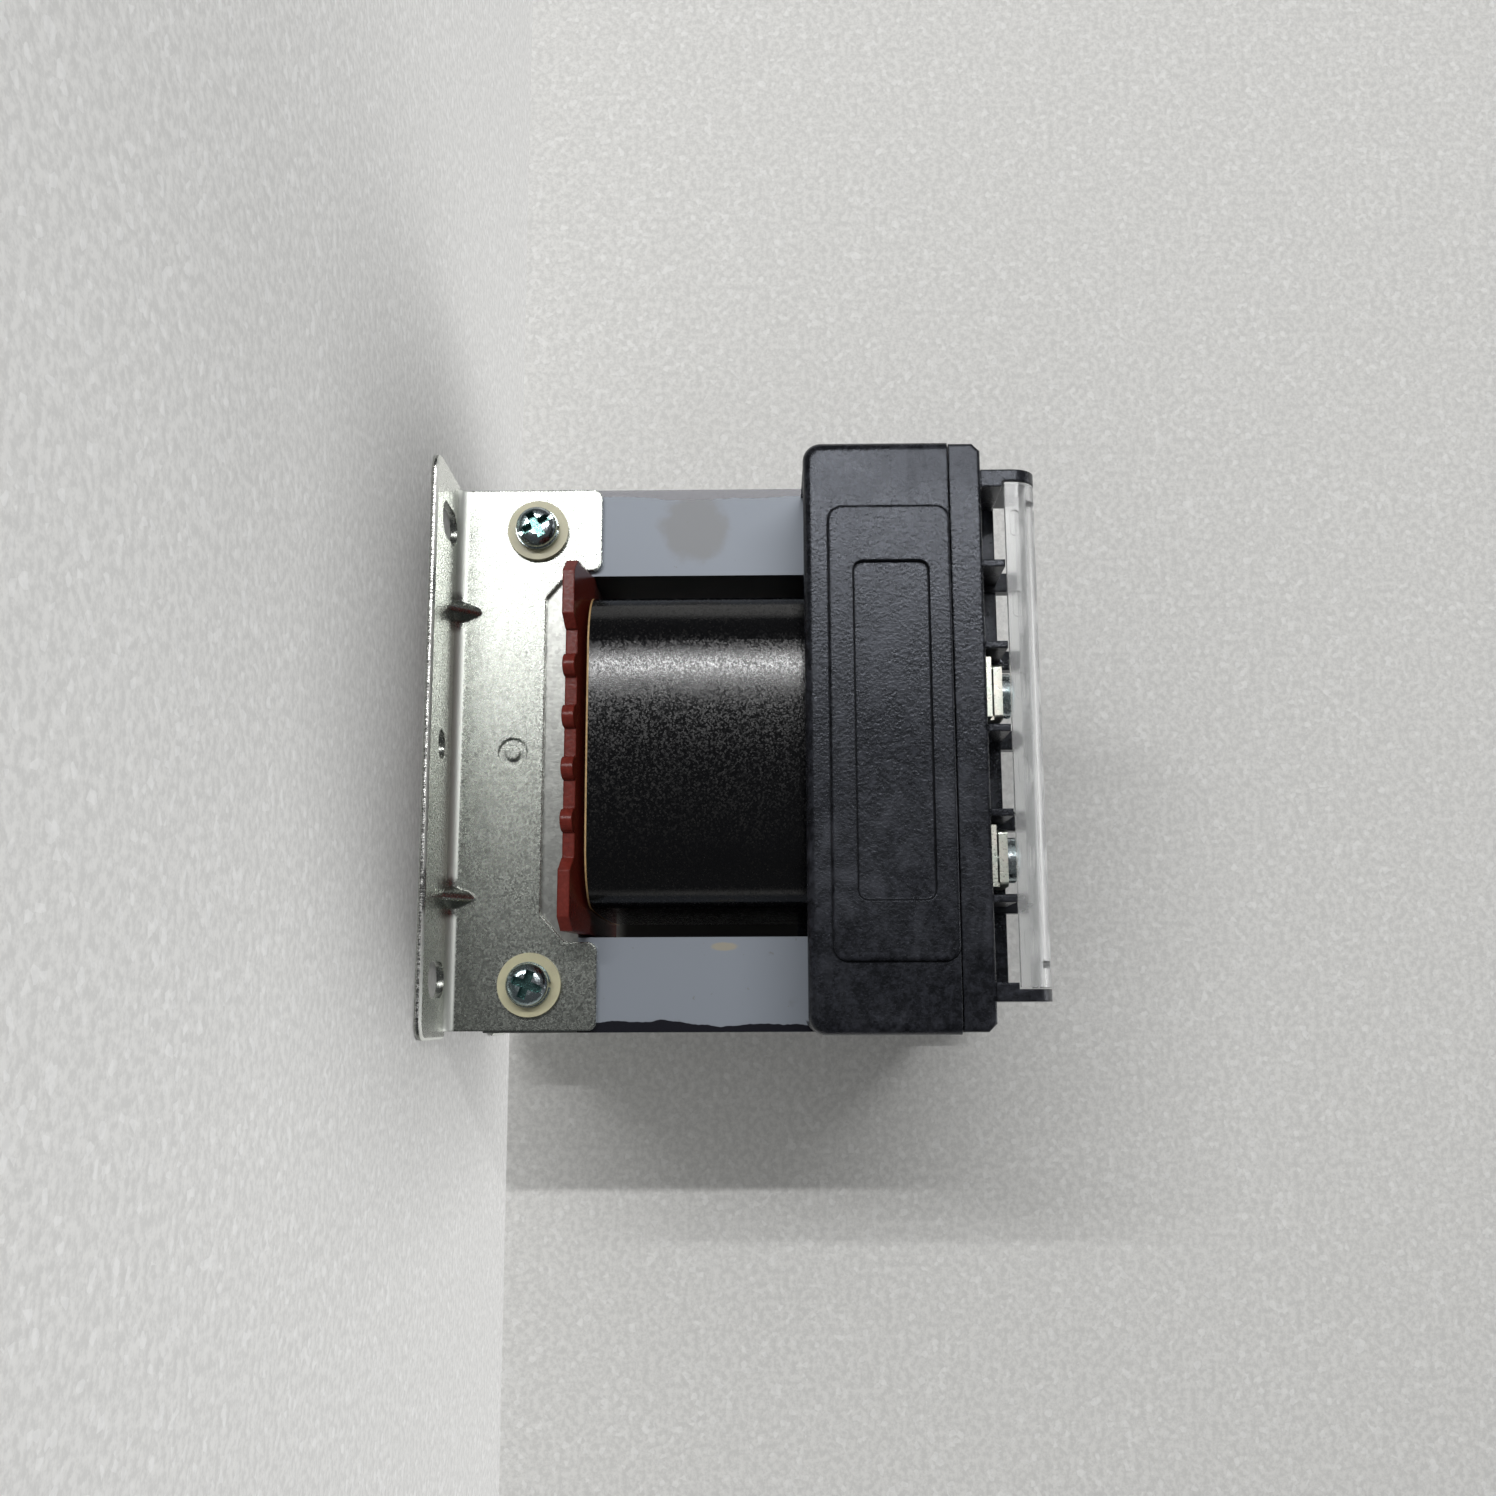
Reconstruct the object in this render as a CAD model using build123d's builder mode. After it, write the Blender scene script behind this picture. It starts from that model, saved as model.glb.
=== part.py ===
"""Single phase transformer with foot brackets and a two-row terminal head.

Millimetres, +Z up. The origin is the centre of the mounting plane: X runs across the
core, Y through the stack of laminations, and the feet stand on Z = 0.
"""

import os
from math import sqrt

from build123d import *

# Core laminations: every proportion of an E-I lamination follows from its outer leg
leg_width = 16.0
core_width = 6 * leg_width
window_height = 3 * leg_width
core_height = window_height + 2 * leg_width
stack_depth = 45.0
core_lift = 7.6
core_hole = 4.6

# Foot brackets, pressed from one sheet thickness
sheet = 1.2
bend_radius = 2.0
foot_reach = 18.5
foot_width = 98.0
foot_corner = 3.2
web_width = 95.4
web_height = 17.1
tab_height = 26.9
tab_width = 14.9
tab_corner = 1.6
notch_slope_run = 4.9
notch_slope_rise = 4.3
notch_corner = 1.0
slot_inset = 9.8
slot_offset = 8.4
slot_length = 11.6
slot_width = 6.0
earth_hole = 5.0
earth_hole_offset = 9.6
gusset_spacing = 50.4
gusset_leg = 5.9
gusset_width = 4.8
gusset_crest = 0.9
locating_ring = 5.0
locating_ring_depth = 0.5
locating_peg = 2.6
locating_peg_rise = 0.4
locating_peg_edge = 0.4
locating_peg_height = 11.8

# Clamp screws through the core, with nylon washers, spring washers and nuts
screw_diameter = 4.0
screw_head = 7.2
screw_head_top = 3.6
screw_head_height = 2.6
screw_head_rim = 0.8
screw_head_shoulder_width = 6.4
screw_head_shoulder_height = 1.9
screw_end = 1.5
cross_width = 1.4
cross_length = 4.8
cross_depth = 1.7
cross_slot_width = 1.0
cross_slot_depth = 0.9
nylon_washer_diameter = 10.8
nylon_washer_thickness = 1.0
spring_washer_diameter = 7.6
spring_washer_thickness = 1.0
spring_washer_gap = 0.9
nut_flats = 7.0
nut_thickness = 3.2
thread_clearance = 0.05

# Bobbin and windings
leg_clearance = 0.3
window_clearance = 0.5
tube_wall = 1.2
tube_corner = 1.0
flange_thickness = 2.0
flange_flare = 1.9
flange_reach = 13.6
flange_setback = 2.6
flange_tab = 12.0
flange_chamfer = 2.2
flange_bump = 2.0
flange_bump_pitch = 8.8
winding_clearance = 0.1
primary_build = 4.4
insulation_build = 0.4
secondary_build = 3.5
wrap_build = 0.5
bulge_height = 0.8
winding_end_gap = 0.2

# Head: two hollow shrouds below one terminal block
side_cover = 0.35
head_reach = 22.3
head_wall = 2.2
head_corner = 3.0
head_edge = 1.7
head_drop = 25.3
seam_drop = 1.2
seam_gap = 0.25
core_clearance = 0.3
ear_width = 13.0
ear_height = 15.0
panel_width = 74.0
panel_inset = 3.9
panel_rise = 0.9
panel_corner = 2.4
panel_edge = 0.5
recess_width = 55.0
recess_inset = 4.1
recess_height = 12.2
recess_depth = 0.6
recess_corner = 1.6

# Terminal block with six compartments in each row
block_inset = 0.4
block_height = 5.2
block_roof = 2.2
block_chamfer = 1.3
block_edge = 0.6
tongue_depth = 3.0
tongue_thickness = 1.2
tongue_width = 48.0
core_pad_width = 12.0
row_pitch = 13.66
row_count = 6
row_depth = 14.2
rib_thickness = 1.15
post_width = 3.2
post_depth = 2.6
post_point = 1.1
post_edge = 0.4
back_wall_thickness = 1.4
back_wall_height = 3.8
end_play = 0.4
end_plate_thickness = 1.9
end_plate_height = 9.2
end_plate_round = 4.0
end_step_thickness = 1.0
bridge_width = 30.0
bridge_rise = 1.0
bridge_corner = 2.0

# Terminals: contact strip, clamp plate and screw
contact_thickness = 0.8
contact_width = 9.8
contact_lead = 0.6
clamp_width = 9.2
clamp_depth = 8.4
clamp_thickness = 1.4
clamp_lip = 0.7
clamp_bore = 4.3
clamp_gap = 0.9
terminal_head = 7.4
terminal_head_height = 2.0
terminal_head_edge = 0.35
terminal_setback = 8.6
terminal_slot_width = 1.2
terminal_slot_depth = 1.0
terminal_cross_length = 4.4
screw_well = 4.4
screw_well_depth = 3.6
terminal_places = [(2, -1), (4, -1), (1, 1), (3, 1)]

# Clear covers
cover_clearance = 0.3
cover_wall = 1.2
cover_lift = 3.85
cover_height = 5.25
cover_round = 3.6
cover_access = 6.4
cover_notch_width = 1.2
cover_notch_inset = 3.5
cover_notch_height = 1.8
cover_notch_depth = 4.0
cover_mark_width = 4.4
cover_mark_height = 1.5
cover_mark_depth = 0.35

# Places worked out from the sizes above
core_face = stack_depth / 2
core_side = core_width / 2
core_top = core_lift + core_height
window_bottom = core_lift + leg_width
window_top = window_bottom + window_height
window_middle = (window_bottom + window_top) / 2
window_side = core_side - leg_width
screw_x = core_side - leg_width / 2
lower_screw_z = core_lift + leg_width / 2
upper_screw_z = core_top - leg_width / 2
web_front = core_face + sheet
foot_edge = core_face + foot_reach
web_side = web_width / 2
foot_side = foot_width / 2
slot_x = foot_side - slot_inset
slot_y = -core_face - slot_offset
washer_face = web_front + nylon_washer_thickness
head_seat = washer_face + spring_washer_thickness
tube_x = leg_width + leg_clearance + tube_wall
tube_y = core_face + leg_clearance + tube_wall
flange_side = window_side - window_clearance
flange_edge = core_face + flange_reach
winding_bottom = window_bottom + flange_thickness + winding_end_gap
winding_top = window_top - flange_thickness - winding_end_gap
winding_height = winding_top - winding_bottom
head_side = core_side + side_cover
head_front = core_face + head_reach
head_bottom = core_top - head_drop
seam_height = core_top - seam_drop
panel_bottom = head_bottom + panel_inset
recess_bottom = panel_bottom + recess_inset
block_top = seam_height + block_height
block_side = head_side - block_inset
block_front = head_front - block_inset
row_front = block_front
row_back = row_front - row_depth
row_length = row_pitch * row_count
row_side = row_length / 2
plate_side = row_side + end_play
back_wall_top = block_top + back_wall_height
end_plate_top = block_top + end_plate_height
cover_bottom = block_top + cover_lift
cover_top = cover_bottom + cover_height
contact_top = block_top + contact_thickness
clamp_bottom = contact_top + clamp_gap
clamp_top = clamp_bottom + clamp_thickness
terminal_y = row_front - terminal_setback
cover_side = plate_side - cover_clearance
rib_top = cover_bottom - cover_clearance
post_top = cover_top - cover_wall - cover_clearance

four_screws = [(x, z) for x in (-screw_x, screw_x) for z in (lower_screw_z, upper_screw_z)]
screw_turns = [60, 15, 110, 40]


# Laminations

with BuildPart() as e_laminations:
    with BuildSketch(Plane.XZ) as e_outline:
        with Locations((0, window_bottom + (core_height - leg_width) / 2)):
            Rectangle(core_width, core_height - leg_width)
        with Locations(
            (-leg_width * 1.5, window_middle), (leg_width * 1.5, window_middle)
        ):
            Rectangle(leg_width, window_height, mode=Mode.SUBTRACT)
        with Locations((-screw_x, upper_screw_z), (screw_x, upper_screw_z)):
            Circle(core_hole / 2, mode=Mode.SUBTRACT)
    extrude(amount=stack_depth / 2, both=True)

with BuildPart() as i_laminations:
    with BuildSketch(Plane.XZ) as i_outline:
        with Locations((0, lower_screw_z)):
            Rectangle(core_width, leg_width)
        with Locations((-screw_x, lower_screw_z), (screw_x, lower_screw_z)):
            Circle(core_hole / 2, mode=Mode.SUBTRACT)
    extrude(amount=stack_depth / 2, both=True)


# Foot brackets: a bent sheet with tabs, slots and pressed gussets

with BuildPart() as gusset:
    gusset_plane = Plane(origin=(0, -web_front, sheet), x_dir=(1, 0, 0), z_dir=(0, 1, 1))
    crest = gusset_leg / sqrt(2)
    with BuildSketch(gusset_plane) as gusset_section:
        with BuildLine():
            Polyline(
                (-gusset_width / 2, 0), (0, -crest), (gusset_width / 2, 0),
                (gusset_width / 2, sheet), (-gusset_width / 2, sheet), close=True,
            )
        make_face()
        fillet(gusset_section.vertices().sort_by(Axis.Y)[0], radius=gusset_crest)
    extrude(amount=2 * gusset_leg, both=True)
    with Locations((0, -web_front, sheet)):
        Box(
            2 * gusset_width,
            2 * gusset_leg,
            2 * gusset_leg,
            align=(Align.CENTER, Align.MAX, Align.MIN),
            mode=Mode.INTERSECT,
        )

with BuildPart() as gusset_dent:
    with BuildSketch(gusset_plane) as dent_section:
        with BuildLine():
            Polyline(
                (-gusset_width / 2, 2 * sheet), (0, sheet - crest),
                (gusset_width / 2, 2 * sheet), close=True,
            )
        make_face()
    extrude(amount=2 * gusset_leg, both=True)

with BuildPart() as front_bracket:
    with BuildSketch(Plane.YZ) as bend_profile:
        with BuildLine():
            inside = FilletPolyline(
                (-foot_edge, sheet), (-web_front, sheet), (-web_front, tab_height),
                radius=bend_radius,
            )
            outside = FilletPolyline(
                (-foot_edge, 0), (-core_face, 0), (-core_face, tab_height),
                radius=bend_radius + sheet,
            )
            Line(inside @ 0, outside @ 0)
            Line(inside @ 1, outside @ 1)
        make_face()
    extrude(amount=foot_side, both=True)
    fillet(front_bracket.edges().filter_by(Axis.Z).group_by(Axis.Y)[0], radius=foot_corner)
    with BuildSketch(Plane.XZ.offset(web_front + bend_radius)) as web_ends:
        with Locations((0, sheet)):
            with GridLocations(2 * foot_side, 1, 2, 1):
                Rectangle(
                    2 * (foot_side - web_side), tab_height, align=(Align.CENTER, Align.MIN)
                )
    extrude(amount=-bend_radius - 2 * sheet, mode=Mode.SUBTRACT)
    with Locations((-gusset_spacing / 2, 0), (gusset_spacing / 2, 0)):
        add(gusset.part)
    with Locations((-gusset_spacing / 2, 0), (gusset_spacing / 2, 0)):
        add(gusset_dent.part, mode=Mode.SUBTRACT)
    with BuildSketch(Plane.XZ.offset(web_front)) as notch:
        notch_side = web_side - tab_width
        with BuildLine():
            Polyline(
                (-notch_side, tab_height + sheet),
                (-notch_side, web_height + notch_slope_rise),
                (-notch_side + notch_slope_run, web_height),
                (notch_side - notch_slope_run, web_height),
                (notch_side, web_height + notch_slope_rise),
                (notch_side, tab_height + sheet),
                close=True,
            )
        make_face()
        fillet(
            notch.vertices().group_by(Axis.Y)[0] + notch.vertices().group_by(Axis.Y)[1],
            radius=notch_corner,
        )
    extrude(amount=2 * sheet, both=True, mode=Mode.SUBTRACT)
    fillet(front_bracket.edges().filter_by(Axis.Y).group_by(Axis.Z)[-1], radius=tab_corner)
    with BuildSketch(Plane.XY) as foot_holes:
        with Locations((-slot_x, slot_y), (slot_x, slot_y)):
            SlotOverall(slot_length, slot_width, rotation=90)
        with Locations((0, -core_face - earth_hole_offset)):
            Circle(earth_hole / 2)
    extrude(amount=bend_radius + sheet, mode=Mode.SUBTRACT)
    with BuildSketch(Plane.XZ.offset(core_face)) as web_holes:
        with Locations((-screw_x, lower_screw_z), (screw_x, lower_screw_z)):
            Circle(core_hole / 2)
    extrude(amount=sheet, mode=Mode.SUBTRACT)
    with BuildSketch(Plane.XZ.offset(web_front)) as ring:
        with Locations((0, locating_peg_height)):
            Circle(locating_ring / 2)
    extrude(amount=-locating_ring_depth, mode=Mode.SUBTRACT)
    with BuildSketch(Plane.XZ.offset(web_front - locating_ring_depth)) as peg:
        with Locations((0, locating_peg_height)):
            Circle(locating_peg / 2)
    extrude(amount=locating_ring_depth + locating_peg_rise)
    chamfer(
        front_bracket.faces().filter_by(Axis.Y).sort_by(Axis.Y)[0].edges(),
        length=locating_peg_edge,
    )

with BuildPart() as rear_bracket:
    mirror(front_bracket.part, about=Plane.XZ)


# Clamp screws and what sits on them

with BuildPart() as screw:
    with BuildSketch(Plane.YZ) as screw_profile:
        with BuildLine():
            head_top = -head_seat - screw_head_height
            ThreePointArc(
                (head_top, screw_head_top / 2),
                (-head_seat - screw_head_shoulder_height, screw_head_shoulder_width / 2),
                (-head_seat - screw_head_rim, screw_head / 2),
            )
            Polyline(
                (-head_seat - screw_head_rim, screw_head / 2),
                (-head_seat, screw_head / 2),
                (-head_seat, screw_diameter / 2),
                (head_seat + nut_thickness + screw_end, screw_diameter / 2),
                (head_seat + nut_thickness + screw_end, 0),
                (head_top, 0),
                (head_top, screw_head_top / 2),
            )
        make_face()
    revolve(axis=Axis.Y)
    with BuildSketch(Plane.XZ.offset(head_seat + screw_head_height)) as cross:
        Rectangle(cross_length, cross_width)
        Rectangle(cross_width, cross_length)
    extrude(amount=-cross_depth, mode=Mode.SUBTRACT)
    with BuildSketch(Plane.XZ.offset(head_seat + screw_head_height)) as cross_slot:
        Rectangle(screw_head, cross_slot_width)
    extrude(amount=-cross_slot_depth, mode=Mode.SUBTRACT)

with BuildPart() as core_screws:
    for place, turn in zip(four_screws, screw_turns):
        with Locations(Location((place[0], 0, place[1]), (0, turn, 0))):
            add(screw.part)

with BuildPart() as nylon_washers:
    for x, z in four_screws:
        for seat in (web_front, -washer_face):
            with BuildSketch(Plane.XZ.offset(seat)) as washer_ring:
                with Locations((x, z)):
                    Circle(nylon_washer_diameter / 2)
                    Circle(core_hole / 2, mode=Mode.SUBTRACT)
            extrude(amount=nylon_washer_thickness)

with BuildPart() as spring_washers:
    for x, z in four_screws:
        for seat in (washer_face, -head_seat):
            with BuildSketch(Plane.XZ.offset(seat)) as split_ring:
                with Locations((x, z)):
                    Circle(spring_washer_diameter / 2)
                    Circle(core_hole / 2, mode=Mode.SUBTRACT)
                    Rectangle(
                        spring_washer_gap, spring_washer_diameter,
                        align=(Align.CENTER, Align.MIN), mode=Mode.SUBTRACT,
                    )
            extrude(amount=spring_washer_thickness)

with BuildPart() as core_nuts:
    for x, z in four_screws:
        with BuildSketch(Plane.XZ.offset(-head_seat - nut_thickness)) as nut_outline:
            with Locations((x, z)):
                RegularPolygon(nut_flats / 2, 6, major_radius=False, rotation=90)
                Circle(screw_diameter / 2 + thread_clearance, mode=Mode.SUBTRACT)
        extrude(amount=nut_thickness)


# Bobbin with flared end flanges

with BuildPart() as lower_flange:
    with BuildSketch(Plane.YZ) as flare:
        with BuildLine():
            flare_root = core_face + leg_clearance
            Polyline(
                (-flange_edge, window_bottom - flange_flare),
                (-flare_root, window_bottom),
                (flare_root, window_bottom),
                (flange_edge, window_bottom - flange_flare),
                (flange_edge, window_bottom - flange_flare + flange_thickness),
                (flare_root, window_bottom + flange_thickness),
                (-flare_root, window_bottom + flange_thickness),
                (-flange_edge, window_bottom - flange_flare + flange_thickness),
                close=True,
            )
        make_face()
    extrude(amount=flange_side, both=True)
    with BuildSketch(Plane.XY.offset(window_bottom - flange_thickness)) as flange_plan:
        Rectangle(2 * flange_side, 2 * (flange_edge - flange_setback))
        for end in (-1, 1):
            for side in (-1, 1):
                with Locations((side * (flange_side - flange_tab / 2), end * flange_edge / 2)):
                    Rectangle(flange_tab, flange_edge)
        chamfer(flange_plan.vertices().group_by(Axis.Y)[0], length=flange_chamfer)
        chamfer(flange_plan.vertices().group_by(Axis.Y)[-1], length=flange_chamfer)
        for end in (-1, 1):
            with Locations((0, end * (flange_edge - flange_setback))):
                with GridLocations(flange_bump_pitch, 1, 4, 1):
                    Circle(flange_bump)
    extrude(amount=3 * flange_thickness, mode=Mode.INTERSECT)

with BuildPart() as bobbin:
    add(lower_flange.part)
    mirror(lower_flange.part, about=Plane.XY.offset(window_middle))
    with BuildSketch(Plane.XY.offset(window_bottom)) as tube_outline:
        RectangleRounded(2 * tube_x, 2 * tube_y, tube_corner)
    extrude(amount=window_height)
    with BuildSketch(Plane.XY.offset(window_bottom)) as leg_hole:
        Rectangle(2 * (tube_x - tube_wall), 2 * (tube_y - tube_wall))
    extrude(amount=window_height, mode=Mode.SUBTRACT)


# Windings: sleeves with bulged sides, one over the other

def wound_outline(growth):
    """Outline of a winding that has grown by this much over the bobbin tube."""
    half_x = tube_x + growth
    half_y = tube_y + growth
    bulge = bulge_height * growth / (primary_build + secondary_build)
    with BuildSketch() as outline:
        with BuildLine():
            ThreePointArc((-half_x, -half_y), (0, -half_y - bulge), (half_x, -half_y))
            ThreePointArc((half_x, -half_y), (half_x + bulge, 0), (half_x, half_y))
            ThreePointArc((half_x, half_y), (0, half_y + bulge), (-half_x, half_y))
            ThreePointArc((-half_x, half_y), (-half_x - bulge, 0), (-half_x, -half_y))
        make_face()
        fillet(outline.vertices(), radius=tube_corner + growth)
    return outline.sketch


def winding_sleeve(inner_growth, outer_growth):
    """A closed sleeve between two stages of winding."""
    with BuildPart() as sleeve:
        with BuildSketch(Plane.XY.offset(winding_bottom)) as section:
            add(wound_outline(outer_growth))
            add(wound_outline(inner_growth), mode=Mode.SUBTRACT)
        extrude(amount=winding_height)
    return sleeve.part


primary_start = winding_clearance
primary_end = primary_start + primary_build
insulation_start = primary_end + winding_clearance
insulation_end = insulation_start + insulation_build
secondary_start = insulation_end + winding_clearance
secondary_end = secondary_start + secondary_build
wrap_start = secondary_end + winding_clearance
wrap_end = wrap_start + wrap_build

with BuildPart() as primary_winding:
    add(winding_sleeve(primary_start, primary_end))

with BuildPart() as winding_insulation:
    add(winding_sleeve(insulation_start, insulation_end))

with BuildPart() as secondary_winding:
    add(winding_sleeve(secondary_start, secondary_end))

with BuildPart() as coil_wrap:
    add(winding_sleeve(wrap_start, wrap_end))


# Shrouds: hollow caps that hang from the terminal block before and behind the core

with BuildPart() as front_shroud:
    shroud_back = core_face + core_clearance
    shroud_top = seam_height - seam_gap
    with BuildSketch(Plane.XZ.offset(shroud_back)) as shroud_outline:
        with Locations((0, head_bottom)):
            Rectangle(2 * head_side, shroud_top - head_bottom, align=(Align.CENTER, Align.MIN))
        fillet(shroud_outline.vertices().group_by(Axis.Y)[0], radius=head_corner)
    extrude(amount=head_front - shroud_back)
    fillet(
        front_shroud.faces().sort_by(Axis.Y)[0].edges().sort_by(Axis.Z)[:-1],
        radius=head_edge,
    )
    with BuildSketch(Plane.XZ.offset(head_front - head_edge)) as panel_outline:
        with Locations((0, (panel_bottom + shroud_top) / 2)):
            RectangleRounded(panel_width, shroud_top - panel_bottom, panel_corner)
    extrude(amount=head_edge + panel_rise)
    fillet(front_shroud.faces().sort_by(Axis.Y)[0].edges(), radius=panel_edge)
    with BuildSketch(Plane.XZ.offset(head_front + panel_rise)) as recess_outline:
        with Locations((0, recess_bottom + recess_height / 2)):
            RectangleRounded(recess_width, recess_height, recess_corner)
    extrude(amount=-recess_depth, mode=Mode.SUBTRACT)
    with BuildSketch(Plane.XZ.offset(shroud_back)) as cavity:
        with Locations((0, head_bottom)):
            Rectangle(
                2 * (head_side - head_wall), shroud_top - head_bottom,
                align=(Align.CENTER, Align.MIN),
            )
    extrude(amount=head_reach - core_clearance - head_wall, mode=Mode.SUBTRACT)
    ear_x = head_side - ear_width / 2
    ear_z = shroud_top - ear_height / 2
    with BuildSketch(Plane.XZ.offset(core_face)) as ears:
        with Locations((-ear_x, ear_z), (ear_x, ear_z)):
            Rectangle(ear_width, ear_height)
        with Locations((-screw_x, upper_screw_z), (screw_x, upper_screw_z)):
            Circle(core_hole / 2, mode=Mode.SUBTRACT)
    extrude(amount=sheet)

with BuildPart() as rear_shroud:
    mirror(front_shroud.part, about=Plane.XZ)


# Terminal block

with BuildPart() as terminal_block:
    with BuildSketch(Plane.XZ) as block_outline:
        with Locations((0, seam_height)):
            Rectangle(2 * block_side, block_top - seam_height, align=(Align.CENTER, Align.MIN))
        chamfer(block_outline.vertices().group_by(Axis.Y)[-1], length=block_chamfer)
    extrude(amount=block_front, both=True)
    for end in (0, -1):
        fillet(
            terminal_block.faces().sort_by(Axis.Y)[end].edges().sort_by(Axis.Z)[1:],
            radius=block_edge,
        )
    with BuildSketch(Plane.XY.offset(seam_height)) as block_hollow:
        Rectangle(2 * (block_side - head_wall), 2 * (block_front - head_wall))
    extrude(amount=block_top - seam_height - block_roof, mode=Mode.SUBTRACT)
    with BuildSketch(Plane.XY.offset(seam_height)) as core_gap:
        Rectangle(2 * head_side, 2 * (core_face + core_clearance))
    extrude(amount=core_top - seam_height, mode=Mode.SUBTRACT)
    with BuildSketch(Plane.XY.offset(seam_height - tongue_depth)) as tongues:
        tongue_y = block_front - head_wall - tongue_thickness
        for end in (-1, 1):
            with Locations((0, end * tongue_y)):
                Rectangle(tongue_width, tongue_thickness)
    extrude(amount=block_top - block_roof - seam_height + tongue_depth)
    with BuildSketch(Plane.XY.offset(core_top)) as roof_pads:
        with GridLocations(2 * screw_x, stack_depth - leg_width, 2, 2):
            Rectangle(core_pad_width, core_pad_width)
    extrude(amount=block_top - block_roof - core_top)
    with BuildSketch(Plane.XY.offset(block_top)) as bridge:
        RectangleRounded(row_length, bridge_width, bridge_corner)
    extrude(amount=bridge_rise)
    for end in (-1, 1):
        rib_y = end * (row_front + row_back) / 2
        with BuildSketch(Plane.XY.offset(block_top)) as ribs:
            with Locations((0, rib_y)):
                with GridLocations(row_pitch, 1, row_count - 1, 1):
                    Rectangle(rib_thickness, row_depth)
        extrude(amount=rib_top - block_top)
        with BuildSketch(Plane.XY.offset(block_top)) as back_wall:
            with Locations((0, end * (row_back + back_wall_thickness / 2))):
                Rectangle(2 * plate_side, back_wall_thickness)
        extrude(amount=back_wall_top - block_top)
        for place in range(1, row_count):
            middle = 2 * place == row_count
            with BuildSketch(Plane.XZ.offset(-end * row_back)) as post:
                with Locations(((place - row_count / 2) * row_pitch, block_top)):
                    Rectangle(
                        post_width, post_top - block_top, align=(Align.CENTER, Align.MIN)
                    )
                chamfer(
                    post.vertices().group_by(Axis.Y)[-1],
                    length=post_point if middle else post_edge,
                )
            extrude(amount=-end * post_depth)
        with BuildSketch(Plane.XY.offset(block_top)) as end_steps:
            with Locations((0, rib_y)):
                with GridLocations(2 * plate_side - end_step_thickness, 1, 2, 1):
                    Rectangle(end_step_thickness, row_depth)
        extrude(amount=rib_top - block_top)
        with BuildSketch(Plane.XY.offset(block_top)) as end_plates:
            with Locations((0, rib_y)):
                with GridLocations(2 * plate_side + end_plate_thickness, 1, 2, 1):
                    Rectangle(end_plate_thickness, row_depth)
        extrude(amount=end_plate_top - block_top)
    plate_tops = terminal_block.faces().filter_by(Axis.Z).group_by(Axis.Z)[-1]
    plate_ends = plate_tops.edges().filter_by(Axis.X).group_by(Axis.Y)
    fillet(plate_ends[0] + plate_ends[-1], radius=end_plate_round)
    with BuildSketch(Plane.XY.offset(block_top)) as wells:
        for place, end in terminal_places:
            x = (place - (row_count - 1) / 2) * row_pitch
            with Locations((x, end * terminal_y)):
                Circle(screw_well / 2 + contact_lead / 2)
    extrude(amount=-block_roof, mode=Mode.SUBTRACT)


# Terminals

with BuildPart() as terminal_contacts:
    for place, end in terminal_places:
        x = (place - (row_count - 1) / 2) * row_pitch
        front = end * (row_front - contact_lead)
        back = end * (row_back + back_wall_thickness + post_depth / 2)
        with BuildSketch(Plane.XY.offset(block_top)) as strip:
            with Locations((x, (front + back) / 2)):
                Rectangle(contact_width, abs(front - back))
            with Locations((x, end * terminal_y)):
                Circle(screw_diameter / 2 + contact_lead / 2, mode=Mode.SUBTRACT)
        extrude(amount=contact_thickness)

with BuildPart() as clamp_plates:
    for place, end in terminal_places:
        x = (place - (row_count - 1) / 2) * row_pitch
        with BuildSketch(Plane.XY.offset(clamp_bottom)) as plate:
            with Locations((x, end * terminal_y)):
                RectangleRounded(clamp_width, clamp_depth, clamp_lip)
                Circle(clamp_bore / 2, mode=Mode.SUBTRACT)
        extrude(amount=clamp_thickness)
        with BuildSketch(Plane.XY.offset(clamp_bottom - clamp_lip)) as lips:
            with Locations((x, end * terminal_y)):
                with GridLocations(clamp_width - clamp_lip, 1, 2, 1):
                    Rectangle(clamp_lip, clamp_depth - 2 * clamp_lip)
        extrude(amount=clamp_lip)

with BuildPart() as terminal_screw:
    with BuildSketch(Plane.XZ) as terminal_screw_profile:
        with BuildLine():
            Polyline(
                (0, clamp_top + terminal_head_height),
                (terminal_head / 2 - terminal_head_edge, clamp_top + terminal_head_height),
                (terminal_head / 2, clamp_top + terminal_head_height - terminal_head_edge),
                (terminal_head / 2, clamp_top),
                (screw_diameter / 2, clamp_top),
                (screw_diameter / 2, block_top - screw_well_depth),
                (0, block_top - screw_well_depth),
                close=True,
            )
        make_face()
    revolve(axis=Axis.Z)
    with BuildSketch(Plane.XY.offset(clamp_top + terminal_head_height)) as terminal_drive:
        Rectangle(terminal_head, terminal_slot_width)
        Rectangle(terminal_slot_width, terminal_cross_length)
    extrude(amount=-terminal_slot_depth, mode=Mode.SUBTRACT)

with BuildPart() as terminal_screws:
    for place, end in terminal_places:
        x = (place - (row_count - 1) / 2) * row_pitch
        with Locations((x, end * terminal_y, 0)):
            add(terminal_screw.part)


# Clear covers over the terminal rows

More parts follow.
